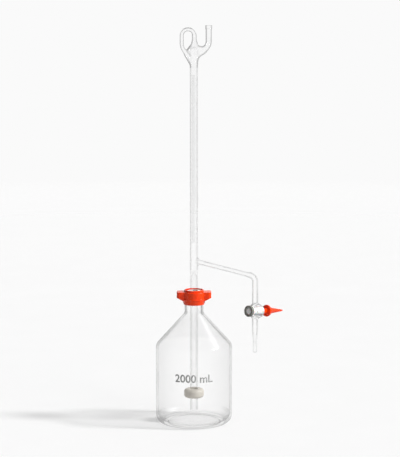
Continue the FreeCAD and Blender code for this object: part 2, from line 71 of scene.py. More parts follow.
# ---- sizes read from the frame ----------------------------------------------------------------------------
_, BOTTLE_HIGH = span("reservoir_bottle")
BOTTLE_R = BOTTLE_HIGH.x
RIM_Z = BOTTLE_HIGH.z
DIP_LOW, DIP_HIGH = span("dip_tube")
TUBE_R = DIP_HIGH.x
DIP_END_Z = DIP_LOW.z
RING_SEAL_Z = DIP_HIGH.z
_, FILL_HIGH = span("fill_tube")
FILL_R = FILL_HIGH.x
HEAD_SEAM_Z = FILL_HIGH.z       # the column and its inner tube end here in the head's glass
LOOP_LOW, LOOP_HIGH = span("overflow_loop")
_, VENT_HIGH = span("vent_arm")
_, ARM_HIGH = span("side_arm")
ARM_LOW, _ = span("side_arm")
JET_LOW, JET_HIGH = span("delivery_jet")
LIMB_X = (JET_LOW.x + JET_HIGH.x) / 2
LIMB_R = (JET_HIGH.x - JET_LOW.x) / 2
JOINTS = {joint["name"]: joint for joint in frame["joints"]}
COCK_AT = Vector(JOINTS["key_turn"]["pos_m"]) / MM
KEY_AXIS = Vector(JOINTS["key_turn"]["axis"])

# ---- bottle -----------------------------------------------------------------------------------------------
WALL = 2.6
FOOT_CORNER = 14.0
FOOT_RING_R = 48.0
PUNT_Z = 2.2
FLOOR_Z = 5.4
SHOULDER_Z = 142.0
SHOULDER_ROUND = 14.0
NECK_Z = 199.0
NECK_ROUND = 7.0
NECK_R = 16.5
NECK_BORE_R = 14.0
THREAD_CREST_R = 17.5
THREAD_Z = 216.5
THREAD_PITCH = 5.0
THREAD_TURNS = 1.75

# ---- tubing -----------------------------------------------------------------------------------------------
TUBE_BORE_R = 6.0
FILL_BORE_R = 2.0
HEAD_WALL = 1.2
CHAMBER_R = 11.5
CHAMBER = np.array([-0.5, 0.0, 662.0])
FUNNEL_Z = 640.0
LOOP_R = 3.5
LOOP_BORE_R = 2.75
LEG_R = 4.7
LEG_Z = 682.0
TIP_Z = 656.0
VENT_R = 5.4
VENT_BORE_R = 4.2
VENT_LIP_R = 5.9
VENT_LIP = 6.0
VENT_START = np.array([2.0, 0.0, 653.5])
VENT_ROOT = np.array([18.0, 0.0, 665.6])
LEG_WEB = ((-7.6, 662.0), (1.4, 676.0), 6.4, 5.0, 3.0)     # (x, z) of a web's ends, its radii and its blend
LOOP_WEB = ((-11.5, 656.5), (-4.0, 646.0), 4.5, 6.5, 3.0)
VENT_WEB = ((4.5, 669.0), (15.5, 664.5), 5.0, 6.0, 5.0)
ARM_DROP = math.radians(14.5)
ARM_R = 4.1
ARM_BORE_R = 2.8
LIMB_BORE_R = 3.6
ELBOW_Z = 264.0
ELBOW_ROUND = 12.0
KEY_MID_R = 7.4
KEY_TAPER = 0.1
KEY_PLAY = 0.05
KEY_BORE_R = 1.25
JET_TIP_R = 3.5
JET_BORE_R = 0.7
NUT_FACE_R = 7.3

# ---- scale ------------------------------------------------------------------------------------------------
CAPACITY_ML = 25
ML_HEIGHT = 1000 / (math.pi * (TUBE_BORE_R ** 2 - FILL_R ** 2))
SCALE_TOP_Z = 621.0
PRINT_GAP = 0.02                # between the glass and a printed mark's back


# ---- outlines and turned pieces ----------------------------------------------------------------------------
def rounded(points, arc_steps=8):
    """(r, z) points of an open outline. A third value at a corner is the radius it is rounded to."""
    out = []
    for i, point in enumerate(points):
        here = np.array(point[:2], float)
        radius = point[2] if len(point) > 2 else 0
        if not radius or i in (0, len(points) - 1):
            out.append(here)
            continue
        back = np.array(points[i - 1][:2], float) - here
        on = np.array(points[i + 1][:2], float) - here
        back /= np.linalg.norm(back)
        on /= np.linalg.norm(on)
        half = math.acos(np.clip(back @ on, -1, 1)) / 2
        middle = back + on
        centre = here + middle / np.linalg.norm(middle) * radius / math.sin(half)
        start = here + back * radius / math.tan(half) - centre
        end = here + on * radius / math.tan(half) - centre
        sweep = math.pi - 2 * half
        for step in range(arc_steps + 1):
            share = step / arc_steps
            a = math.sin((1 - share) * sweep) / math.sin(sweep)
            b = math.sin(share * sweep) / math.sin(sweep)
            out.append(centre + start * a + end * b)
    return out


def new_piece(name, vertices, faces, body, materials, indices=None, crease=35):
    """A mesh object from millimetre vertices, shaded smooth but for creases, that rides on a body."""
    mesh = bpy.data.meshes.new(name)
    mesh.from_pydata((np.asarray(vertices) * MM).tolist(), [], faces)
    if indices is not None:
        mesh.polygons.foreach_set("material_index", indices)
    for material in materials:
        mesh.materials.append(material)
    mesh.update()
    bm = bmesh.new()
    bm.from_mesh(mesh)
    bmesh.ops.remove_doubles(bm, verts=bm.verts, dist=1e-7)
    bmesh.ops.recalc_face_normals(bm, faces=bm.faces)
    bm.to_mesh(mesh)
    bm.free()
    mesh.polygons.foreach_set("use_smooth", [True] * len(mesh.polygons))
    mesh.set_sharp_from_angle(angle=math.radians(crease))
    piece = bpy.data.objects.new(name, mesh)
    bpy.context.scene.collection.objects.link(piece)
    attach(piece, body)
    return piece


def axis_frame(axis):
    """Two directions square to an axis."""
    side = Vector((0, 0, 1)).cross(axis)
    side = side.normalized() if side.length > 1e-6 else Vector((1, 0, 0))
    return side, axis.cross(side)


def lathe(outline, segments=96, at=(0, 0, 0), axis=(0, 0, 1)):
    """Vertices and faces of an outline of (radius, height) points, closed on itself, spun round an axis."""
    axis = Vector(axis).normalized()
    side, other = axis_frame(axis)
    origin = Vector(at)
    vertices, faces = [], []
    for radius, height in outline:
        for step in range(segments):
            turn = 2 * math.pi * step / segments
            out = side * math.cos(turn) + other * math.sin(turn)
            vertices.append(tuple(origin + axis * height + out * radius))
    rings = len(outline)
    for ring in range(rings):
        following = (ring + 1) % rings
        if outline[ring][0] < 1e-6 and outline[following][0] < 1e-6:
            continue
        for step in range(segments):
            ahead = (step + 1) % segments
            quad = [
                ring * segments + step, ring * segments + ahead,
                following * segments + ahead, following * segments + step,
            ]
            if outline[ring][0] < 1e-6:
                quad = [quad[0], quad[2], quad[3]]
            elif outline[following][0] < 1e-6:
                quad = quad[:3]
            faces.append(quad)
    return vertices, faces


def seam_faces(vertices, faces, heights, margin=0.03):
    """Material indices: SEAM for each level face at one of these heights, and 0 for the rest."""
    z = np.array([v[2] for v in vertices])
    indices = []
    for face in faces:
        own = z[face]
        fused = any(np.all(np.abs(own - height) < margin) for height in heights)
        indices.append(SEAM if fused else 0)
    return indices


# ---- blown shapes -----------------------------------------------------------------------------------------
def united(a, b, blend):
    """Smooth union of two distances."""
    share = np.clip(0.5 + 0.5 * (b - a) / blend, 0, 1)
    return b * (1 - share) + a * share - blend * share * (1 - share)


def cut(a, b, blend):
    """What is in a and not in b, with the edge between them rounded."""
    return -united(-a, b, blend)


def cone_distance(p, start, end, start_r, end_r):
    """Distance to a round-ended bar whose radius changes from start to end."""
    along = end - start
    share = np.clip((p - start) @ along / (along @ along), 0, 1)
    return np.linalg.norm(p - start - share[:, None] * along, axis=1) - (start_r + (end_r - start_r) * share)


def path_distance(p, path, radii):
    """Distance to a tube of changing radius along a chain of points."""
    best = np.full(len(p), np.inf)
    for i in range(len(path) - 1):
        best = np.minimum(best, cone_distance(p, path[i], path[i + 1], radii[i], radii[i + 1]))
    return best


def sphere_distance(p, centre, radius):
    return np.linalg.norm(p - centre, axis=1) - radius


def gradient(distance, p, reach=0.05):
    out = np.empty_like(p)
    for i in range(3):
        step = np.zeros(3)
        step[i] = reach
        out[:, i] = (distance(p + step) - distance(p - step)) / (2 * reach)
    return out


def grid_cells(values, grid):
    """One vertex for each grid cell that the surface crosses, and the cells' numbers."""
    cells = tuple(n - 1 for n in values.shape)

    def corner(array, offset):
        return array[tuple(slice(o, o + n) for o, n in zip(offset, cells))]

    total = np.zeros(cells + (3,))
    hits = np.zeros(cells)
    for i in (0, 1):
        for j in (0, 1):
            for axis in range(3):
                start = [0, 0, 0]
                others = [a for a in range(3) if a != axis]
                start[others[0]], start[others[1]] = i, j
                end = list(start)
                end[axis] = 1
                a, b = corner(values, start), corner(values, end)
                crossing = (a < 0) != (b < 0)
                share = np.where(crossing, a / np.where(crossing, a - b, 1), 0)[..., None]
                place = corner(grid, start) * (1 - share) + corner(grid, end) * share
                total[crossing] += place[crossing]
                hits += crossing
    active = hits > 0
    numbers = np.full(cells, -1)
    numbers[active] = np.arange(active.sum())
    return total[active] / hits[active][:, None], numbers


def grid_faces(inside, numbers):
    """A quad round each grid edge that the surface crosses, facing out."""
    faces = []
    for axis in range(3):
        u, v = (axis + 1) % 3, (axis + 2) % 3
        here, ahead = [slice(None)] * 3, [slice(None)] * 3
        here[axis], ahead[axis] = slice(0, -1), slice(1, None)
        for other in (u, v):
            here[other] = ahead[other] = slice(1, -1)
        a, b = inside[tuple(here)], inside[tuple(ahead)]
        base = np.zeros(3, int)
        base[u] = base[v] = 1
        back_u, back_v = np.zeros(3, int), np.zeros(3, int)
        back_u[u] = back_v[v] = 1
        for leaving, flip in ((a & ~b, False), (~a & b, True)):
            at = np.argwhere(leaving) + base
            ring = [at - back_u - back_v, at - back_v, at, at - back_u]
            if flip:
                ring = ring[::-1]
            faces.append(np.stack([numbers[tuple(cell.T)] for cell in ring], axis=1))
    return np.concatenate(faces)


def relaxed(points, faces):
    """Each point half way to the mean of its neighbours."""
    total = np.zeros_like(points)
    count = np.zeros(len(points))
    for i in range(4):
        a, b = faces[:, i], faces[:, (i + 1) % 4]
        for start, end in ((a, b), (b, a)):
            np.add.at(total, start, points[end])
            np.add.at(count, start, 1)
    return (points + total / np.maximum(count, 1)[:, None]) / 2


def blown(distance, low, high, step):
    """Vertices and quads of the surface where distance is zero, evened out and drawn onto it."""
    axes = [np.arange(a, b + step, step) for a, b in zip(low, high)]
    grid = np.stack(np.meshgrid(*axes, indexing="ij"), axis=-1)
    values = distance(grid.reshape(-1, 3)).reshape(grid.shape[:3])
    points, numbers = grid_cells(values, grid)
    faces = grid_faces(values < 0, numbers)
    for turn in range(4):
        if turn in (1, 2):
            points = relaxed(points, faces)
        slope = gradient(distance, points)
        size = np.maximum((slope ** 2).sum(axis=1), 0.2)
        move = np.clip(distance(points), -step / 2, step / 2) / size
        points = points - move[:, None] * slope
    return points, faces


def sliced(vertices, faces, cuts):
    """Cut a mesh by (point, direction) planes, keep what lies behind each, and close it there with SEAM faces."""
    bm = bmesh.new()
    made = [bm.verts.new(v) for v in vertices]
    for face in faces:
        if len(set(face)) > 2:
            bm.faces.new([made[i] for i in face])
    for point, way in cuts:
        geometry = list(bm.verts) + list(bm.edges) + list(bm.faces)
        bmesh.ops.bisect_plane(bm, geom=geometry, plane_co=point, plane_no=way, clear_outer=True, dist=1e-4)
    for point, way in cuts:
        rim = [edge for edge in bm.edges if edge.is_boundary
               and all(abs((v.co - point).dot(way)) < 1e-3 for v in edge.verts)]
        for face in bmesh.ops.triangle_fill(bm, edges=rim, use_beauty=True)["geom"]:
            if isinstance(face, bmesh.types.BMFace):
                face.material_index = SEAM
    bm.verts.index_update()
    vertices = [tuple(v.co) for v in bm.verts]
    indices = [face.material_index for face in bm.faces]
    faces = [[v.index for v in face.verts] for face in bm.faces]
    bm.free()
    return vertices, faces, indices


def hermite(points, ways, steps=14):
    """A smooth curve through points with a direction at each."""
    out = []
    for a, b, way_a, way_b in zip(points, points[1:], ways, ways[1:]):
        reach = np.linalg.norm(b - a)
        for t in np.arange(steps) / steps:
            out.append(
                (2 * t ** 3 - 3 * t ** 2 + 1) * a + (t ** 3 - 2 * t ** 2 + t) * reach * way_a
                + (3 * t ** 2 - 2 * t ** 3) * b + (t ** 3 - t ** 2) * reach * way_b)
    return out + [points[-1]]


def arc(centre, start, end, steps=16):
    """Points of a circular arc in the XZ plane from angle start to angle end, given with its radius's centre."""
    middle, radius = centre
    turns = np.linspace(start, end, steps + 1)
    return [middle + radius * np.array([math.cos(t), 0, math.sin(t)]) for t in turns]


# ---- materials --------------------------------------------------------------------------------------------
class Nodes:
    """A material's nodes, added and linked in one call each."""

    def __init__(self, name):
        self.material = bpy.data.materials.new(name)
        self.material.use_nodes = True
        self.tree = self.material.node_tree
        self.tree.nodes.clear()
        self.output = self.tree.nodes.new("ShaderNodeOutputMaterial")

    def add(self, kind, settings=None, **inputs):
        node = self.tree.nodes.new("ShaderNode" + kind)
        for key, value in (settings or {}).items():
            setattr(node, key, value)
        for key, value in inputs.items():
            self.join(node.inputs[key.replace("_", " ")], value)
        return node

    def join(self, socket, value):
        if isinstance(value, bpy.types.NodeSocket):
            self.tree.links.new(value, socket)
        else:
            socket.default_value = value

    def mix(self, factor, a, b):
        """A mix of two colours."""
        node = self.tree.nodes.new("ShaderNodeMix")
        node.data_type = "RGBA"
        self.join(node.inputs[0], factor)
        self.join(node.inputs[6], a)
        self.join(node.inputs[7], b)
        return node.outputs[2]

    def noise(self, scale, detail=3.0, roughness=0.5):
        """Noise by place on the object, so many cells to the metre."""
        place = self.add("TexCoord").outputs["Object"]
        return self.add("TexNoise", Vector=place, Scale=scale, Detail=detail, Roughness=roughness).outputs["Fac"]

    def ramp(self, value, low, high, out_low=0.0, out_high=1.0):
        node = self.add("MapRange", Value=value)
        for i, setting in enumerate((low, high, out_low, out_high)):
            node.inputs[i + 1].default_value = setting
        return node.outputs[0]

    def calc(self, operation, *values):
        node = self.add("Math", {"operation": operation})
        for socket, value in zip(node.inputs, values):
            self.join(socket, value)
        return node.outputs[0]

    def turned_right(self):
        """How far a surface faces to the camera's right, from -1 to 1, whichever side of it is seen."""
        geometry = self.add("NewGeometry").outputs
        turned = self.add("VectorTransform", {"vector_type": "NORMAL", "convert_from": "WORLD",
                                              "convert_to": "CAMERA"}, Vector=geometry["Normal"])
        across = self.add("SeparateXYZ", Vector=turned.outputs[0]).outputs[0]
        outward = self.calc("MULTIPLY_ADD", geometry["Backfacing"], -2.0, 1.0)
        return self.calc("MULTIPLY", across, outward)

    def bump(self, height, strength, distance):
        return self.add("Bump", Height=height, Strength=strength, Distance=distance).outputs[0]

    def finish(self, shader):
        self.tree.links.new(shader, self.output.inputs["Surface"])
        return self.material


def thin_glass(name, body, rim, span, shine=0.6, gloss_roughness=0.05, square_on=1.0, shade=0.0):
    """Glass that is clear where it faces the eye and greyer where it curves away, with a sheen at its edges.

    square_on is what comes through where it faces the eye, body how much less comes through when seen edge on,
    and rim how dark its edge line is, painted lighter on the camera's right, the lamps' side; span is how far it has
    turned from the eye where that line begins and is full. The grey of body and rim is painted shade standing in for
    the darker room that refraction would show. shade is what each surface holds back of a lamp's light."""
    n = Nodes(name)
    bump = n.bump(n.noise(60.0, 2.0), 0.2, 0.0001)
    facing = n.add("LayerWeight", Blend=0.5, Normal=bump).outputs["Facing"]
    # painted shade: the edge line, painted lighter on the camera's right, the side the lamps light from
    depth = n.ramp(n.turned_right(), -0.4, 0.4, rim, rim * RIGHT_RIM)
    line = n.calc("MULTIPLY", n.ramp(facing, *span), depth)
    lit = n.calc("MULTIPLY_ADD", n.add("LightPath").outputs["Is Shadow Ray"], -shade, 1.0)
    wall = n.calc("MULTIPLY", lit, n.ramp(facing, 0.0, 1.0, square_on, square_on - body))
    through = n.calc("MULTIPLY", n.calc("SUBTRACT", 1.0, line), wall)
    clear = n.add("BsdfTransparent", Color=through)
    gloss = n.add("BsdfGlossy", Color=(1, 1, 1, 1), Roughness=gloss_roughness, Normal=bump)
    share = n.ramp(n.calc("POWER", facing, 4.0), 0.0, 1.0, SQUARE_ON_SHINE, shine)
    mixer = n.add("MixShader", Fac=share)
    n.tree.links.new(clear.outputs[0], mixer.inputs[1])
    n.tree.links.new(gloss.outputs[0], mixer.inputs[2])
    return n.finish(mixer.outputs[0])


def fused_seam():
    """Where two lengths of glass are fused there is no surface to see."""
    n = Nodes("fused_seam")
    return n.finish(n.add("BsdfTransparent", Color=(1, 1, 1, 1)).outputs[0])


def orange_plastic():
    """Moulded orange-red plastic with a high gloss, slight flow marks and a fine surface grain."""
    n = Nodes("orange_plastic")
    cloud = n.ramp(n.noise(70.0, 4.0), 0.3, 0.7)
    colour = n.mix(cloud, (0.78, 0.036, 0.001, 1), (0.92, 0.055, 0.0015, 1))
    grain = n.noise(2600.0, 2.0)
    rough = n.ramp(n.noise(240.0), 0.3, 0.7, 0.22, 0.32)
    shader = n.add("BsdfPrincipled", Base_Color=colour, Roughness=rough, Normal=n.bump(grain, 0.06, 0.0001),
                   Specular_IOR_Level=0.2, Coat_Weight=0.1, Coat_Roughness=0.12)
    return n.finish(shader.outputs[0])


def white_ptfe():
    """Turned white fluoropolymer: waxy, with faint tool rings."""
    n = Nodes("white_ptfe")
    place = n.add("TexCoord").outputs["Object"]
    rings = n.add("TexWave", {"wave_type": "RINGS", "rings_direction": "Z"}, Vector=place, Scale=900.0,
                  Distortion=0.6, Detail=2.0).outputs["Fac"]
    cloud = n.ramp(n.noise(120.0), 0.3, 0.7)
    colour = n.mix(cloud, (0.86, 0.86, 0.84, 1), (0.93, 0.93, 0.92, 1))
    shader = n.add("BsdfPrincipled", Base_Color=colour, Roughness=0.38, Normal=n.bump(rings, 0.08, 0.0002),
                   Subsurface_Weight=0.25, Subsurface_Scale=0.002)
    return n.finish(shader.outputs[0])


def dark_rubber():
    n = Nodes("dark_rubber")
    grain = n.noise(1800.0, 4.0)
    colour = n.mix(n.ramp(n.noise(300.0), 0.3, 0.7), (0.018, 0.018, 0.018, 1), (0.04, 0.04, 0.038, 1))
    shader = n.add("BsdfPrincipled", Base_Color=colour, Roughness=0.62, Normal=n.bump(grain, 0.2, 0.0002))
    return n.finish(shader.outputs[0])


def pale_silicone():
    """Beige-grey silicone rubber, a little uneven, with a painted glow that lightens its shade."""
    n = Nodes("pale_silicone")
    cloud = n.ramp(n.noise(95.0, 5.0), 0.3, 0.7)
    colour = n.mix(cloud, (0.30, 0.28, 0.25, 1), (0.36, 0.34, 0.305, 1))
    grain = n.noise(1500.0, 4.0)
    rough = n.ramp(n.noise(400.0), 0.3, 0.7, 0.45, 0.65)
    # painted glow: emission that lightens the rubber's shade, as though light came through it
    shader = n.add("BsdfPrincipled", Base_Color=colour, Roughness=rough, Normal=n.bump(grain, 0.25, 0.0002),
                   Emission_Color=(0.20, 0.188, 0.168, 1), Emission_Strength=1.0)
    return n.finish(shader.outputs[0])


def dark_nut():
    """Glass-filled dark moulding with a satin grain, its recessed face painted paler than its rim."""
    n = Nodes("dark_nut")
    grain = n.noise(3000.0, 3.0)
    place = n.add("TexCoord").outputs["Object"]
    arm = n.add("VectorMath", {"operation": "SUBTRACT"}, Vector=place)
    arm.inputs[1].default_value = COCK_AT * MM
    across = n.add("VectorMath", {"operation": "CROSS_PRODUCT"}, Vector=arm.outputs[0])
    across.inputs[1].default_value = KEY_AXIS
    off_axis = n.add("VectorMath", {"operation": "LENGTH"}, Vector=across.outputs[0]).outputs["Value"]
    rim = n.mix(n.ramp(n.noise(420.0), 0.35, 0.7), (0.12, 0.125, 0.11, 1), (0.18, 0.185, 0.165, 1))
    # the recessed face, inside NUT_FACE_R of the key's axis, is painted paler than the rim
    colour = n.mix(n.ramp(off_axis, NUT_FACE_R * MM, (NUT_FACE_R + 0.3) * MM), (0.42, 0.43, 0.41, 1), rim)
    shader = n.add("BsdfPrincipled", Base_Color=colour, Roughness=0.42, Normal=n.bump(grain, 0.3, 0.0002))
    return n.finish(shader.outputs[0])


def enamel(name, dark, light, roughness):
    """Fired enamel print: matt, with the slight mottle of a screen print."""
    n = Nodes(name)
    cloud = n.ramp(n.noise(700.0, 4.0), 0.3, 0.7)
    shader = n.add("BsdfPrincipled", Base_Color=n.mix(cloud, dark, light), Roughness=roughness,
                   Normal=n.bump(n.noise(4000.0), 0.2, 0.0001))
    return n.finish(shader.outputs[0])


# Each glass below paints its edges with its own depth of shade, and RIGHT_RIM paints the lit side's edges lighter
RIGHT_RIM = 0.6                 # the edge line on the lit side, as a share of the other side's
SQUARE_ON_SHINE = 0.013         # what glass reflects of what it squarely faces
BOTTLE_GLASS = thin_glass("bottle_glass", 0.06, 0.34, (0.74, 0.97), 0.4, 0.2, shade=0.06)
SHOULDER_GLASS = thin_glass("shoulder_glass", 0.06, 0.55, (0.66, 0.95), 0.4, 0.2, shade=0.06)
NECK_GLASS = thin_glass("neck_glass", 0.05, 0.62, (0.42, 0.85), 0.4, 0.1, shade=0.06)
FLOOR_GLASS = thin_glass("bottle_floor_glass", 0.03, 0.02, (0.5, 0.9), 0.15)
CORNER_GLASS = thin_glass("foot_corner_glass", 0.06, 0.28, (0.3, 0.95), 0.3, 0.35, shade=0.06)
RING_GLASS = thin_glass("foot_ring_glass", 0.25, 0.25, (0.1, 0.9), 0.2)
DIP_GLASS = thin_glass("dip_tube_glass", 0.02, 0.09, (0.05, 0.6), 0.3, 0.05, 0.988)
TUBE_GLASS = thin_glass("tube_glass", 0.02, 0.20, (0.2, 0.8))
NARROW_GLASS = thin_glass("narrow_tube_glass", 0.02, 0.40, (0.25, 0.8))
BLOWN_GLASS = thin_glass("blown_glass", 0.02, 0.36, (0.1, 0.45), 0.5, 0.05, 0.992)
WALL_GLASS = thin_glass("head_wall_glass", 0.0, 0.14, (0.3, 0.85), 0.1)
MOUTH_GLASS = thin_glass("vent_mouth_glass", 0.12, 0.30, (0.1, 0.5), 0.3, 0.05, 0.93)
BARREL_GLASS = thin_glass("barrel_glass", 0.03, 0.62, (0.3, 0.8), 0.5)
INNER_GLASS = thin_glass("inner_glass", 0.0, 0.025, (0.3, 0.9), 0.1)
FUSED = fused_seam()
GREY_ENAMEL = enamel("grey_enamel", (0.31, 0.315, 0.31, 1), (0.38, 0.385, 0.38, 1), 0.55)
PALE_ENAMEL = enamel("pale_enamel", (0.48, 0.49, 0.49, 1), (0.60, 0.61, 0.61, 1), 0.6)


# ---- glass pieces -----------------------------------------------------------------------------------------
def bottle_outline():
    inner_r = BOTTLE_R - WALL
    cone = math.atan2(NECK_Z - SHOULDER_Z, BOTTLE_R - NECK_R)
    drop = WALL * math.tan(cone / 2)
    outer = rounded([
        (0, PUNT_Z), (FOOT_RING_R - 3, PUNT_Z, 2), (FOOT_RING_R, 0, 1.2), (BOTTLE_R, 0, FOOT_CORNER),
        (BOTTLE_R, SHOULDER_Z, SHOULDER_ROUND), (NECK_R, NECK_Z, NECK_ROUND), (NECK_R, RIM_Z, 0.9),
        (NECK_BORE_R, RIM_Z, 0.9), (NECK_BORE_R, NECK_Z - drop, NECK_ROUND + WALL),
        (inner_r, SHOULDER_Z - drop, SHOULDER_ROUND - WALL), (inner_r, FLOOR_Z, FOOT_CORNER - 1), (0, FLOOR_Z),
    ], 12)
    return outer


def thread_ridge(turns, steps=150):
    """The neck's thread: a rounded ridge along a helix, running out to nothing at both ends."""
    vertices, faces = [], []
    for i in range(steps + 1):
        share = i / steps
        turn = 2 * math.pi * turns * share
        swell = min(1.0, 12 * share, 12 * (1 - share))
        crest = NECK_R + (THREAD_CREST_R - NECK_R) * swell
        for radius, half in ((NECK_R - 0.4, -0.9), (crest, -0.45), (crest, 0.45), (NECK_R - 0.4, 0.9)):
            z = THREAD_Z + THREAD_PITCH * turns * share + half
            vertices.append((radius * math.cos(turn), radius * math.sin(turn), z))
    for i in range(steps):
        for j in range(4):
            k = (j + 1) % 4
            faces.append([4 * i + j, 4 * i + k, 4 * i + 4 + k, 4 * i + 4 + j])
    faces.append([3, 2, 1, 0])
    faces.append([4 * steps + j for j in range(4)])
    return vertices, faces


def joined(*parts):
    """Several (vertices, faces) as one."""
    vertices, faces = [], []
    for more, rings in parts:
        faces += [[i + len(vertices) for i in face] for face in rings]
        vertices += list(more)
    return vertices, faces


def make_bottle():
    vertices, faces = joined(lathe(bottle_outline(), 160), thread_ridge(THREAD_TURNS))
    places = np.array(vertices)
    glass = [BOTTLE_GLASS, FLOOR_GLASS, RING_GLASS, NECK_GLASS, CORNER_GLASS, SHOULDER_GLASS]
    wall, floor, ring, neck, corner, shoulder = range(len(glass))
    indices = []
    for face in faces:
        heights = places[face][:, 2]
        low, high = heights.min(), heights.max()
        if low > NECK_Z - 4:
            indices.append(neck)
        elif low > SHOULDER_Z - SHOULDER_ROUND:
            indices.append(shoulder)
        elif high < FLOOR_Z + 0.1 and high - low < 0.05:
            indices.append(floor)
        elif high < PUNT_Z + 0.1 and np.hypot(*places[face][0, :2]) < FOOT_RING_R + 1.5:
            indices.append(ring)
        else:
            indices.append(corner if high < FLOOR_Z + FOOT_CORNER else wall)
    piece = new_piece("bottle_glass", vertices, faces, "bottle", glass, indices)
    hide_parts("reservoir_bottle")


def tube_piece(name, node, outline, seams, segments=72, at=(0, 0, 0), glass=TUBE_GLASS):
    vertices, faces = lathe(outline, segments, at)
    indices = seam_faces(vertices, faces, seams)
    piece = new_piece(name, vertices, faces, "burette", [glass, FUSED], indices)
    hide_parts(node)
    return piece


def make_straight_tubes():
    dip = rounded([
        (TUBE_BORE_R, DIP_END_Z + 3), (TUBE_BORE_R, DIP_END_Z, 0.5), (TUBE_R, DIP_END_Z, 0.5),
        (TUBE_R, RING_SEAL_Z), (FILL_BORE_R, RING_SEAL_Z), (FILL_BORE_R, RING_SEAL_Z - 5, 2),
        (TUBE_BORE_R, RING_SEAL_Z - 12, 4), (TUBE_BORE_R, DIP_END_Z + 3.01),
    ])
    tube_piece("dip_tube_glass", "dip_tube", dip, [RING_SEAL_Z], glass=DIP_GLASS)
    low, high = RING_SEAL_Z, HEAD_SEAM_Z
    fill = [(FILL_BORE_R, low), (FILL_R, low), (FILL_R, high), (FILL_BORE_R, high)]
    tube_piece("fill_tube_glass", "fill_tube", fill, [low, high], 48, glass=INNER_GLASS)
    column = [(TUBE_BORE_R, low), (TUBE_R, low), (TUBE_R, high), (TUBE_BORE_R, high)]
    tube_piece("column_glass", "burette_tube", column, [low, high])


def loop_path():
    """Centre line of the overflow loop, and its outer radius along it."""
    left = LOOP_LOW.x + LOOP_R
    arch_r = (0.8 - left) / 2
    arch_z = LOOP_HIGH.z - LOOP_R - arch_r
    rise_z = arch_z - 14
    points = [
        (0, 0, HEAD_SEAM_Z - 4), (0, 0, HEAD_SEAM_Z), (-4.4, 0, HEAD_SEAM_Z + 10.5), (-13.6, 0, HEAD_SEAM_Z + 24),
        (left, 0, rise_z),
    ]
    ways = [(0, 0, 1), (0, 0, 1), (-8, 0, 12), (-8, 0, 13), (0, 0, 1)]
    ways = [np.array(way) / np.linalg.norm(way) for way in ways]
    curve = hermite([np.array(point, float) for point in points], ways)
    curve += arc((np.array([left + arch_r, 0, arch_z]), arch_r), math.pi, 0)
    radii = [FILL_R + (LOOP_R - FILL_R) * min(1, max(0, (p[2] - HEAD_SEAM_Z) / 8)) for p in curve]
    return curve, radii


def vent_path():
    """Centre line of the vent: on from the chamber's shoulder, round a bend and up to its mouth."""
    x = VENT_HIGH.x - VENT_LIP_R
    way = (VENT_ROOT - VENT_START) / np.linalg.norm(VENT_ROOT - VENT_START)
    corner = VENT_ROOT + way * (x - VENT_ROOT[0]) / way[0]
    reach = np.linalg.norm(corner - VENT_ROOT) * 0.85
    start, end = corner - way * reach, corner + np.array([0, 0, reach])
    up = np.array([0, 0, 1.0])
    bend = hermite([start, end], [way, up], 12)
    return [VENT_START] + bend + [np.array([x, 0, VENT_HIGH.z + 4])]


def head_distance():
    """The head's glass: chamber, funnel, return leg, vent and loop as one blown piece, with its hollows."""
    loop, loop_r = loop_path()
    bore_r = [FILL_BORE_R + (LOOP_BORE_R - FILL_BORE_R) * (r - FILL_R) / (LOOP_R - FILL_R) for r in loop_r]
    arch_end = loop[-1]
    leg_end = np.array([arch_end[0], 0, LEG_Z - 3])
    tip_end = np.array([arch_end[0], 0, TIP_Z])
    vent = vent_path()
    low = np.array([0, 0, HEAD_SEAM_Z - 6])
    funnel_low = np.array([0, 0, FUNNEL_Z + 1.0])
    funnel_high = np.array([0, 0, CHAMBER[2] - 2.5])
    lip_low = np.array([vent[-1][0], 0, VENT_HIGH.z - VENT_LIP + 1.5])

    def hull(p, inset):
        """Chamber, funnel, column, leg and vent, with the webs between them, drawn in by inset."""
        vent_r = [VENT_R + 1.2 - inset] + [VENT_R - inset] * (len(vent) - 1)
        out = united(sphere_distance(p, CHAMBER, CHAMBER_R - 1.0 - inset),
                     cone_distance(p, funnel_low, funnel_high, TUBE_R - inset, CHAMBER_R - 1.2 - inset), 2.0)
        out = united(out, path_distance(p, vent, vent_r), 3.0)
        for start, end, start_r, end_r, blend in (LEG_WEB, LOOP_WEB, VENT_WEB):
            start, end = np.array([start[0], 0, start[1]]), np.array([end[0], 0, end[1]])
            out = united(out, cone_distance(p, start, end, start_r - inset, end_r - inset), blend)
        out = united(out, cone_distance(p, arch_end, leg_end, LOOP_R - inset, LEG_R - inset), 3.0)
        column = cone_distance(p, low, funnel_low, TUBE_R - inset, TUBE_R - inset)
        return united(out, column, 1.2)

    def distance(p):
        outer = hull(p, 0)
        lip = cone_distance(p, lip_low, vent[-1], VENT_LIP_R, VENT_LIP_R)
        outer = united(outer, lip, 1.0)
        rise = path_distance(p, loop, loop_r)
        tip = cone_distance(p, arch_end, tip_end, 2.2, 1.4)
        glass = united(outer, rise, 3.0)
        hollow = hull(p, HEAD_WALL)
        top = (arch_end[2] - 4.5) - p[:, 2]
        hollow = np.maximum(hollow, -top - 1.2)
        tubes = np.minimum(rise, tip)
        glass = cut(glass, np.maximum(hollow, -tubes), 0.4)
        glass = np.maximum(glass, -path_distance(p, loop, bore_r))
        glass = np.maximum(glass, -cone_distance(p, arch_end, tip_end - np.array([0, 0, 3]), 1.7, 0.7))
        return cut(glass, VENT_HIGH.z - p[:, 2], 0.5)

    def skin(p):
        """Distance to the head's outside, as if it were solid."""
        lip = cone_distance(p, lip_low, vent[-1], VENT_LIP_R, VENT_LIP_R)
        outer = united(hull(p, 0), lip, 1.0)
        return united(outer, path_distance(p, loop, loop_r), 3.0)

    return distance, skin


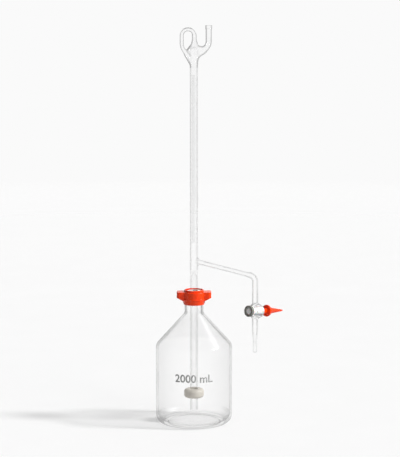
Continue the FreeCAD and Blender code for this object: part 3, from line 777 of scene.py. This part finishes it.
def make_head():
    step = 0.55
    low = np.array([LOOP_LOW.x - 2, -CHAMBER_R - 2, HEAD_SEAM_Z - 3])
    high = np.array([VENT_HIGH.x + 2, CHAMBER_R + 2, VENT_HIGH.z + 2])
    distance, skin = head_distance()
    points, faces = blown(distance, low, high, step)
    seam = (Vector((0, 0, HEAD_SEAM_Z)), Vector((0, 0, -1)))
    vertices, faces, indices = sliced(points, faces.tolist(), [seam])
    places = np.array(vertices)
    depth = -skin(places)
    for i, face in enumerate(faces):
        if indices[i] == SEAM:
            continue
        below_mouth = VENT_HIGH.z - places[face][:, 2].mean()
        if depth[face].mean() > HEAD_WALL + 0.35:
            indices[i] = INSIDE
        elif below_mouth < 0.9 or abs(below_mouth - VENT_LIP) < 0.6:
            indices[i] = MOUTH
        elif depth[face].mean() > 0.25:
            indices[i] = WALL_FACE
    glass = [BLOWN_GLASS, FUSED, INNER_GLASS, WALL_GLASS, MOUTH_GLASS]
    piece = new_piece("head_glass", vertices, faces, "burette", glass, indices, 50)
    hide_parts("zero_head", "overflow_loop", "vent_arm")


def arm_paths():
    """The side arm's centre line from the column down to the stopcock's seam."""
    along = np.array([math.cos(ARM_DROP), 0, -math.sin(ARM_DROP)])
    start = np.array([0, 0, ELBOW_Z + LIMB_X * math.tan(ARM_DROP)])
    corner = np.array([LIMB_X, 0, ELBOW_Z])
    reach = ELBOW_ROUND * math.tan((math.pi / 2 - ARM_DROP) / 2)
    bend_start = corner - along * reach
    bend_centre = corner + np.array([-ELBOW_ROUND, 0, -reach])
    bend = arc((bend_centre, ELBOW_ROUND), math.pi / 2 - ARM_DROP, 0)
    line = [start, start + along * 30, start + along * 60, bend_start - along * 8] + bend
    return line + [np.array([LIMB_X, 0, ARM_LOW.z - 4])]


def arm_distance():
    path = arm_paths()
    narrow = 4
    outer_r = [ARM_R] * narrow + [LIMB_R] * (len(path) - narrow)
    bore_r = [ARM_BORE_R] * narrow + [LIMB_BORE_R] * (len(path) - narrow)
    low, high = path[0] - np.array([0, 0, 60]), path[0] + np.array([0, 0, 60])

    def distance(p):
        column = cone_distance(p, low, high, TUBE_R, TUBE_R)
        glass = united(column, path_distance(p, path, outer_r), 6.0)
        glass = np.maximum(glass, -path_distance(p, path, bore_r))
        return np.maximum(glass, 0.03 - column)

    return distance


def make_side_arm():
    step = 0.6
    low = np.array([0, -TUBE_R - 3, ARM_LOW.z - 3])
    high = np.array([ARM_HIGH.x + 2, TUBE_R + 3, ARM_HIGH.z + 9])
    points, faces = blown(arm_distance(), low, high, step)
    seam = (Vector((0, 0, ARM_LOW.z)), Vector((0, 0, -1)))
    vertices, faces, indices = sliced(points, faces.tolist(), [seam])
    places = np.array(vertices)
    for i, face in enumerate(faces):
        centre = places[face].mean(axis=0)
        if math.hypot(centre[0], centre[1]) < TUBE_R + 0.12:
            indices[i] = SEAM
    piece = new_piece("side_arm_glass", vertices, faces, "burette", [NARROW_GLASS, FUSED], indices, 50)
    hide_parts("side_arm")


BARREL_OUTLINE = [
    (-10.0, 9.0), (-9.3, 9.6), (-5.6, 10.1), (-4.6, 12.0), (-3.8, 12.6), (5.2, 14.0), (6.1, 13.6), (7.2, 11.9),
    (13.4, 11.2), (14.0, 10.6),
]


def barrel_distance():
    """The stopcock's barrel with its limbs: a ribbed tapered bush across a tube."""
    axis = np.array(KEY_AXIS)
    centre = np.array(COCK_AT)
    places = [at for at, _ in BARREL_OUTLINE]
    radii = [radius for _, radius in BARREL_OUTLINE]
    top = np.array([LIMB_X, 0, ARM_LOW.z + 4])
    bottom = np.array([LIMB_X, 0, JET_HIGH.z - 4])
    way = np.array([0, 0, 1.0])
    middle = np.array([LIMB_X, 0, COCK_AT.z])

    def distance(p):
        along = (p - centre) @ axis
        off = np.linalg.norm(p - centre - along[:, None] * axis, axis=1)
        side = (off - np.interp(along, places, radii)) * 0.93
        ends = np.maximum(places[0] - along, along - places[-1])
        barrel = cut(side, -ends, 0.8)
        limbs = cone_distance(p, bottom, top, LIMB_R, LIMB_R)
        glass = united(barrel, limbs, 3.2)
        glass = np.maximum(glass, -(off - (KEY_MID_R + KEY_TAPER * along + KEY_PLAY)))
        for side_way in (way, -way):
            far = middle + side_way * 60
            hollow = cone_distance(p, middle + side_way * 17.0, far, LIMB_BORE_R, LIMB_BORE_R)
            port = cone_distance(p, middle + side_way * 5, middle + side_way * 14, KEY_BORE_R, KEY_BORE_R)
            glass = np.maximum(glass, -united(hollow, port, 1.5))
        return glass

    return distance


def make_barrel():
    step = 0.5
    low = np.array([LIMB_X - 17, -17, JET_HIGH.z - 3])
    high = np.array([LIMB_X + 18, 18, ARM_LOW.z + 3])
    points, faces = blown(barrel_distance(), low, high, step)
    seams = [
        (Vector((0, 0, JET_HIGH.z)), Vector((0, 0, -1))),
        (Vector((0, 0, ARM_LOW.z)), Vector((0, 0, 1))),
    ]
    vertices, faces, indices = sliced(points, faces.tolist(), seams)
    piece = new_piece("stopcock_barrel_glass", vertices, faces, "burette", [BARREL_GLASS, FUSED], indices, 50)
    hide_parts("stopcock_barrel")


def make_jet():
    top, tip = JET_HIGH.z, JET_LOW.z
    taper_top, taper_end = tip + 39, tip + 22
    outline = rounded([
        (LIMB_BORE_R, top), (LIMB_R, top), (LIMB_R, taper_top, 20), (JET_TIP_R, taper_end, 20),
        (JET_TIP_R, tip, 0.8), (JET_BORE_R, tip, 0.3), (JET_BORE_R, tip + 4, 2), (1.6, taper_end, 10),
        (LIMB_BORE_R, taper_top, 10), (LIMB_BORE_R, top - 0.01),
    ])
    tube_piece("delivery_jet_glass", "delivery_jet", outline, [top], 64, (LIMB_X, 0, 0), NARROW_GLASS)


# ---- printed marks ----------------------------------------------------------------------------------------
def wrapped_text(name, words, height, radius, centre_z, thickness, weight, material, body, turn=-math.pi / 2):
    """Printed characters laid round a cylinder about the Z axis, centred on a turn about it."""
    curve = bpy.data.curves.new(name, "FONT")
    curve.body = words
    curve.align_x = "CENTER"
    curve.align_y = "CENTER"
    curve.size = height / 0.7
    curve.offset = weight
    curve.resolution_u = 6
    text = bpy.data.objects.new(name, curve)
    bpy.context.scene.collection.objects.link(text)
    bpy.context.view_layer.update()
    mesh = bpy.data.meshes.new_from_object(text.evaluated_get(bpy.context.evaluated_depsgraph_get()))
    bpy.data.objects.remove(text)
    bpy.data.curves.remove(curve)
    bm = bmesh.new()
    bm.from_mesh(mesh)
    bmesh.ops.remove_doubles(bm, verts=bm.verts, dist=1e-5)
    bmesh.ops.subdivide_edges(bm, edges=[e for e in bm.edges if e.calc_length() > radius / 12], cuts=3,
                              use_grid_fill=False)
    bmesh.ops.triangulate(bm, faces=bm.faces)
    bmesh.ops.solidify(bm, geom=bm.faces, thickness=thickness)
    for vertex in bm.verts:
        angle = turn + vertex.co.x / radius
        out = radius + PRINT_GAP + abs(vertex.co.z)
        vertex.co = Vector((out * math.cos(angle), out * math.sin(angle), centre_z + vertex.co.y)) * MM
    bmesh.ops.recalc_face_normals(bm, faces=bm.faces)
    bm.to_mesh(mesh)
    bm.free()
    mesh.materials.clear()
    mesh.materials.append(material)
    piece = bpy.data.objects.new(name, mesh)
    mesh.name = name
    bpy.context.scene.collection.objects.link(piece)
    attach(piece, body)
    return piece


def line_mark(radius, z, height, half_turn, centre_turn, thickness):
    """A printed line: a thin curved bar round a tube."""
    steps = max(4, round(half_turn * 18))
    vertices, faces = [], []
    for i in range(steps + 1):
        turn = centre_turn + half_turn * (2 * i / steps - 1)
        for out, up in ((PRINT_GAP, -0.5), (thickness, -0.5), (thickness, 0.5), (PRINT_GAP, 0.5)):
            reach = radius + out
            vertices.append((reach * math.cos(turn), reach * math.sin(turn), z + up * height))
    for i in range(steps):
        for j in range(4):
            k = (j + 1) % 4
            faces.append([4 * i + j, 4 * i + 4 + j, 4 * i + 4 + k, 4 * i + k])
    faces.append([0, 1, 2, 3])
    faces.append([4 * steps + j for j in (3, 2, 1, 0)])
    return vertices, faces


def make_scale():
    """Lines each tenth of a millilitre, longer each half and whole one, numbered each whole one."""
    front = -math.pi / 2
    parts = []
    for tenth in range(CAPACITY_ML * 10 + 1):
        z = SCALE_TOP_Z - tenth * ML_HEIGHT / 10
        half_turn = math.radians(74 if tenth % 10 == 0 else 44 if tenth % 5 == 0 else 28)
        parts.append(line_mark(TUBE_R, z, 0.22, half_turn, front, 0.05))
    vertices, faces = joined(*parts)
    new_piece("scale_lines", vertices, faces, "burette", [PALE_ENAMEL])
    numbers = []
    for ml in range(CAPACITY_ML + 1):
        z = SCALE_TOP_Z - ml * ML_HEIGHT - 1.9
        numbers.append(wrapped_text(f"scale_number_{ml}", str(ml), 2.2, TUBE_R, z, 0.04, 0.02, PALE_ENAMEL,
                                    "burette", front + math.radians(58)))
    merged = bmesh.new()
    for piece in numbers:
        merged.from_mesh(piece.data)
    mesh = bpy.data.meshes.new("scale_numbers")
    merged.to_mesh(mesh)
    merged.free()
    for piece in numbers:
        bpy.data.objects.remove(piece)
    mesh.materials.append(PALE_ENAMEL)
    piece = bpy.data.objects.new("scale_numbers", mesh)
    bpy.context.scene.collection.objects.link(piece)
    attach(piece, "burette")


def make_capacity_mark():
    wrapped_text("capacity_mark", "2000 mL", 13.6, BOTTLE_R, 92.0, 0.06, 0.4, GREY_ENAMEL, "bottle")


# ---- CAD pieces that keep their shape ----------------------------------------------------------------------
def smooth_group():
    """Welds a CAD mesh's seams and shades it smooth, but for edges sharper than 30 degrees."""
    group = bpy.data.node_groups.new("smooth_by_angle", "GeometryNodeTree")
    group.interface.new_socket("Geometry", in_out="INPUT", socket_type="NodeSocketGeometry")
    group.interface.new_socket("Geometry", in_out="OUTPUT", socket_type="NodeSocketGeometry")
    nodes, links = group.nodes, group.links
    start = nodes.new("NodeGroupInput")
    end = nodes.new("NodeGroupOutput")
    merge = nodes.new("GeometryNodeMergeByDistance")
    merge.inputs["Distance"].default_value = 1e-6
    faces = nodes.new("GeometryNodeSetShadeSmooth")
    faces.domain = "FACE"
    edges = nodes.new("GeometryNodeSetShadeSmooth")
    edges.domain = "EDGE"
    angle = nodes.new("GeometryNodeInputMeshEdgeAngle")
    sharp = nodes.new("FunctionNodeCompare")
    sharp.operation = "LESS_THAN"
    sharp.inputs[1].default_value = math.radians(30)
    links.new(start.outputs[0], merge.inputs["Geometry"])
    links.new(merge.outputs[0], faces.inputs["Geometry"])
    links.new(faces.outputs[0], edges.inputs["Geometry"])
    links.new(angle.outputs["Unsigned Angle"], sharp.inputs[0])
    links.new(sharp.outputs[0], edges.inputs["Shade Smooth"])
    links.new(edges.outputs[0], end.inputs[0])
    return group


def dress_cad_nodes():
    looks = {
        "screw_cap": orange_plastic(), "white_ptfe": white_ptfe(), "dark_rubber": dark_rubber(),
        "pale_silicone": pale_silicone(), "dark_nut": dark_nut(),
    }
    looks["stopcock_handle"] = looks["screw_cap"]
    for node in ("gland_bush", "sealing_adapter", "stopcock_key", "key_washer"):
        looks[node] = looks["white_ptfe"]
    for node in ("tube_o_ring", "key_o_ring"):
        looks[node] = looks["dark_rubber"]
    for node in ("rim_gasket", "steadying_disc"):
        looks[node] = looks["pale_silicone"]
    looks["retaining_nut"] = looks["dark_nut"]
    group = smooth_group()
    for node, piece in frame["nodes"].items():
        if piece.hide_render or node not in looks:
            continue
        for slot in piece.material_slots:
            slot.link = "OBJECT"
            slot.material = looks[node]
        smooth = piece.modifiers.new("smooth_by_angle", "NODES")
        smooth.node_group = group


# ---- studio -----------------------------------------------------------------------------------------------
BACKDROP = 0.956                # brightness of the floor and what is behind it
PAPER = 0.45                    # the floor's own colour; the rest of its brightness is a glow
BOUNCE = 0.35                   # share of the glow that lights the pieces from below
ROOM_LEVEL = 0.16               # light that the room sheds on the floor and the plastics
SCREEN_LEVEL = 1.03             # what glass shows of the screen behind the object
SIDE_LEVEL = 0.45               # and of the room beside it and in front of it
SCREEN_EDGE = (0.05, 0.55)      # cosine of the angle from the camera's view where the screen ends and begins
LEFT_SHADE = 0.84
KEY_WAY = (0.775, -0.12, 0.616)
KEY_POWER = 3.9
FRONT_WAY = (0.66, -0.62, 0.42)
FRONT_POWER = 1.5


def make_floor():
    """A pale floor, as bright as the backdrop it fades into, that takes soft shadows."""
    bm = bmesh.new()
    bmesh.ops.create_circle(bm, cap_ends=True, segments=128, radius=6.0)
    mesh = bpy.data.meshes.new("floor")
    bm.to_mesh(mesh)
    bm.free()
    lamps = sum(power * Vector(way).normalized().z for power, way in ((KEY_POWER, KEY_WAY), (FRONT_POWER, FRONT_WAY)))
    glow_level = BACKDROP - PAPER * (ROOM_LEVEL + lamps / math.pi)
    n = Nodes("pale_floor")
    place = n.add("TexCoord").outputs["Object"]
    reach = n.add("VectorMath", {"operation": "LENGTH"}, Vector=place).outputs["Value"]
    fade = n.ramp(reach, 1.5, 4.5)
    paper = n.mix(n.ramp(n.noise(9.0), 0.3, 0.7), (PAPER * 0.99,) * 3 + (1,), (PAPER * 1.01,) * 3 + (1,))
    diffuse = n.add("BsdfDiffuse", Color=paper)
    bounce = n.ramp(n.add("LightPath").outputs["Is Diffuse Ray"], 0.0, 1.0, glow_level, glow_level * BOUNCE)
    glow = n.add("Emission", Color=(1, 1, 1, 1), Strength=bounce)
    both = n.add("AddShader")
    n.tree.links.new(diffuse.outputs[0], both.inputs[0])
    n.tree.links.new(glow.outputs[0], both.inputs[1])
    clear = n.add("BsdfTransparent")
    mixer = n.add("MixShader", Fac=fade)
    n.tree.links.new(both.outputs[0], mixer.inputs[1])
    n.tree.links.new(clear.outputs[0], mixer.inputs[2])
    mesh.materials.append(n.finish(mixer.outputs[0]))
    floor = bpy.data.objects.new("floor", mesh)
    bpy.context.scene.collection.objects.link(floor)


def make_surroundings():
    """Pale to the camera and a soft even light to the floor and the plastics. To glass it is a pale screen behind
    the object, whichever way the camera looks, and grey to the sides and in front, which draws its edges."""
    world = bpy.data.worlds.new("studio")
    bpy.context.scene.world = world
    world.use_nodes = True
    tree = world.node_tree
    tree.nodes.clear()

    def add(kind, inputs=(), **settings):
        node = tree.nodes.new("ShaderNode" + kind)
        for key, value in settings.items():
            setattr(node, key, value)
        for socket, value in zip(node.inputs, inputs):
            if isinstance(value, bpy.types.NodeSocket):
                tree.links.new(value, socket)
            else:
                socket.default_value = value
        return node

    way = add("TexCoord").outputs["Generated"]
    turned = add("VectorTransform", [way], vector_type="VECTOR", convert_from="WORLD", convert_to="CAMERA")
    parts = add("SeparateXYZ", [turned.outputs[0]]).outputs
    ahead = add("MapRange", [parts[2], *SCREEN_EDGE, SIDE_LEVEL, SCREEN_LEVEL], interpolation_type="SMOOTHSTEP")
    left = add("MapRange", [parts[0], -0.9, 0.1, LEFT_SHADE, 1.0], interpolation_type="SMOOTHSTEP")
    level = add("Math", [ahead.outputs[0], left.outputs[0]], operation="MULTIPLY")
    seen = add("Background", [(1, 1, 1, 1), BACKDROP])
    room = add("Background", [(1, 1, 1, 1), ROOM_LEVEL])
    screen = add("Background", [(1, 1, 1, 1), level.outputs[0]])
    path = add("LightPath").outputs
    lit = add("MixShader", [path["Is Diffuse Ray"], screen.outputs[0], room.outputs[0]])
    chooser = add("MixShader", [path["Is Camera Ray"], lit.outputs[0], seen.outputs[0]])
    add("OutputWorld", [chooser.outputs[0]])


def make_sun(name, way, power, spread):
    """A lamp so far off that it lights the floor evenly."""
    lamp = bpy.data.lights.new(name, "SUN")
    lamp.energy = power
    lamp.angle = math.radians(spread)
    piece = bpy.data.objects.new(name, lamp)
    piece.location = Vector(way) * 3
    piece.rotation_mode = "QUATERNION"
    piece.rotation_quaternion = Vector(way).to_track_quat("Z", "Y")
    bpy.context.scene.collection.objects.link(piece)
    return piece


def make_softbox(name, at, target, size, power):
    """A lamp that shows only as a reflection."""
    lamp = bpy.data.lights.new(name, "AREA")
    lamp.shape = "RECTANGLE"
    lamp.size, lamp.size_y = size
    lamp.energy = power
    piece = bpy.data.objects.new(name, lamp)
    piece.location = at
    piece.rotation_mode = "QUATERNION"
    piece.rotation_quaternion = (Vector(target) - Vector(at)).to_track_quat("-Z", "Y")
    piece.visible_diffuse = False
    bpy.context.scene.collection.objects.link(piece)


def make_lamps():
    make_sun("key_lamp", KEY_WAY, KEY_POWER, 9)
    make_sun("front_lamp", FRONT_WAY, FRONT_POWER, 45).visible_glossy = False
    shoulder = (0.03, -0.03, 0.17)
    make_softbox("right_softbox", (1.35, 0.38, 1.68), shoulder, (0.45, 0.6), 6)
    make_softbox("left_softbox", (-1.5, -0.5, 1.2), shoulder, (0.25, 0.4), 5)


def make_camera():
    """Level with the column's top, a little right of the axis, looking slightly down."""
    camera = bpy.data.cameras.new("camera")
    camera.sensor_width = 36.0
    camera.lens = 129.8
    camera.clip_end = 50.0
    piece = bpy.data.objects.new("camera", camera)
    piece.location = (0.0107, -2.9, 0.718)
    piece.rotation_euler = (math.radians(90 - 7.23), 0, 0)
    bpy.context.scene.collection.objects.link(piece)
    bpy.context.scene.camera = piece


def set_light_paths():
    """Enough bounces to see through every glass wall, and true whites."""
    scene = bpy.context.scene
    scene.cycles.max_bounces = 28
    scene.cycles.transmission_bounces = 28
    scene.cycles.glossy_bounces = 6
    scene.cycles.transparent_max_bounces = 24
    scene.cycles.caustics_refractive = False
    scene.cycles.caustics_reflective = False
    scene.cycles.blur_glossy = 0.3
    scene.view_settings.view_transform = "Standard"


make_bottle()
make_straight_tubes()
make_head()
make_side_arm()
make_barrel()
make_jet()
make_scale()
make_capacity_mark()
dress_cad_nodes()
make_floor()
make_surroundings()
make_lamps()
make_camera()
set_light_paths()
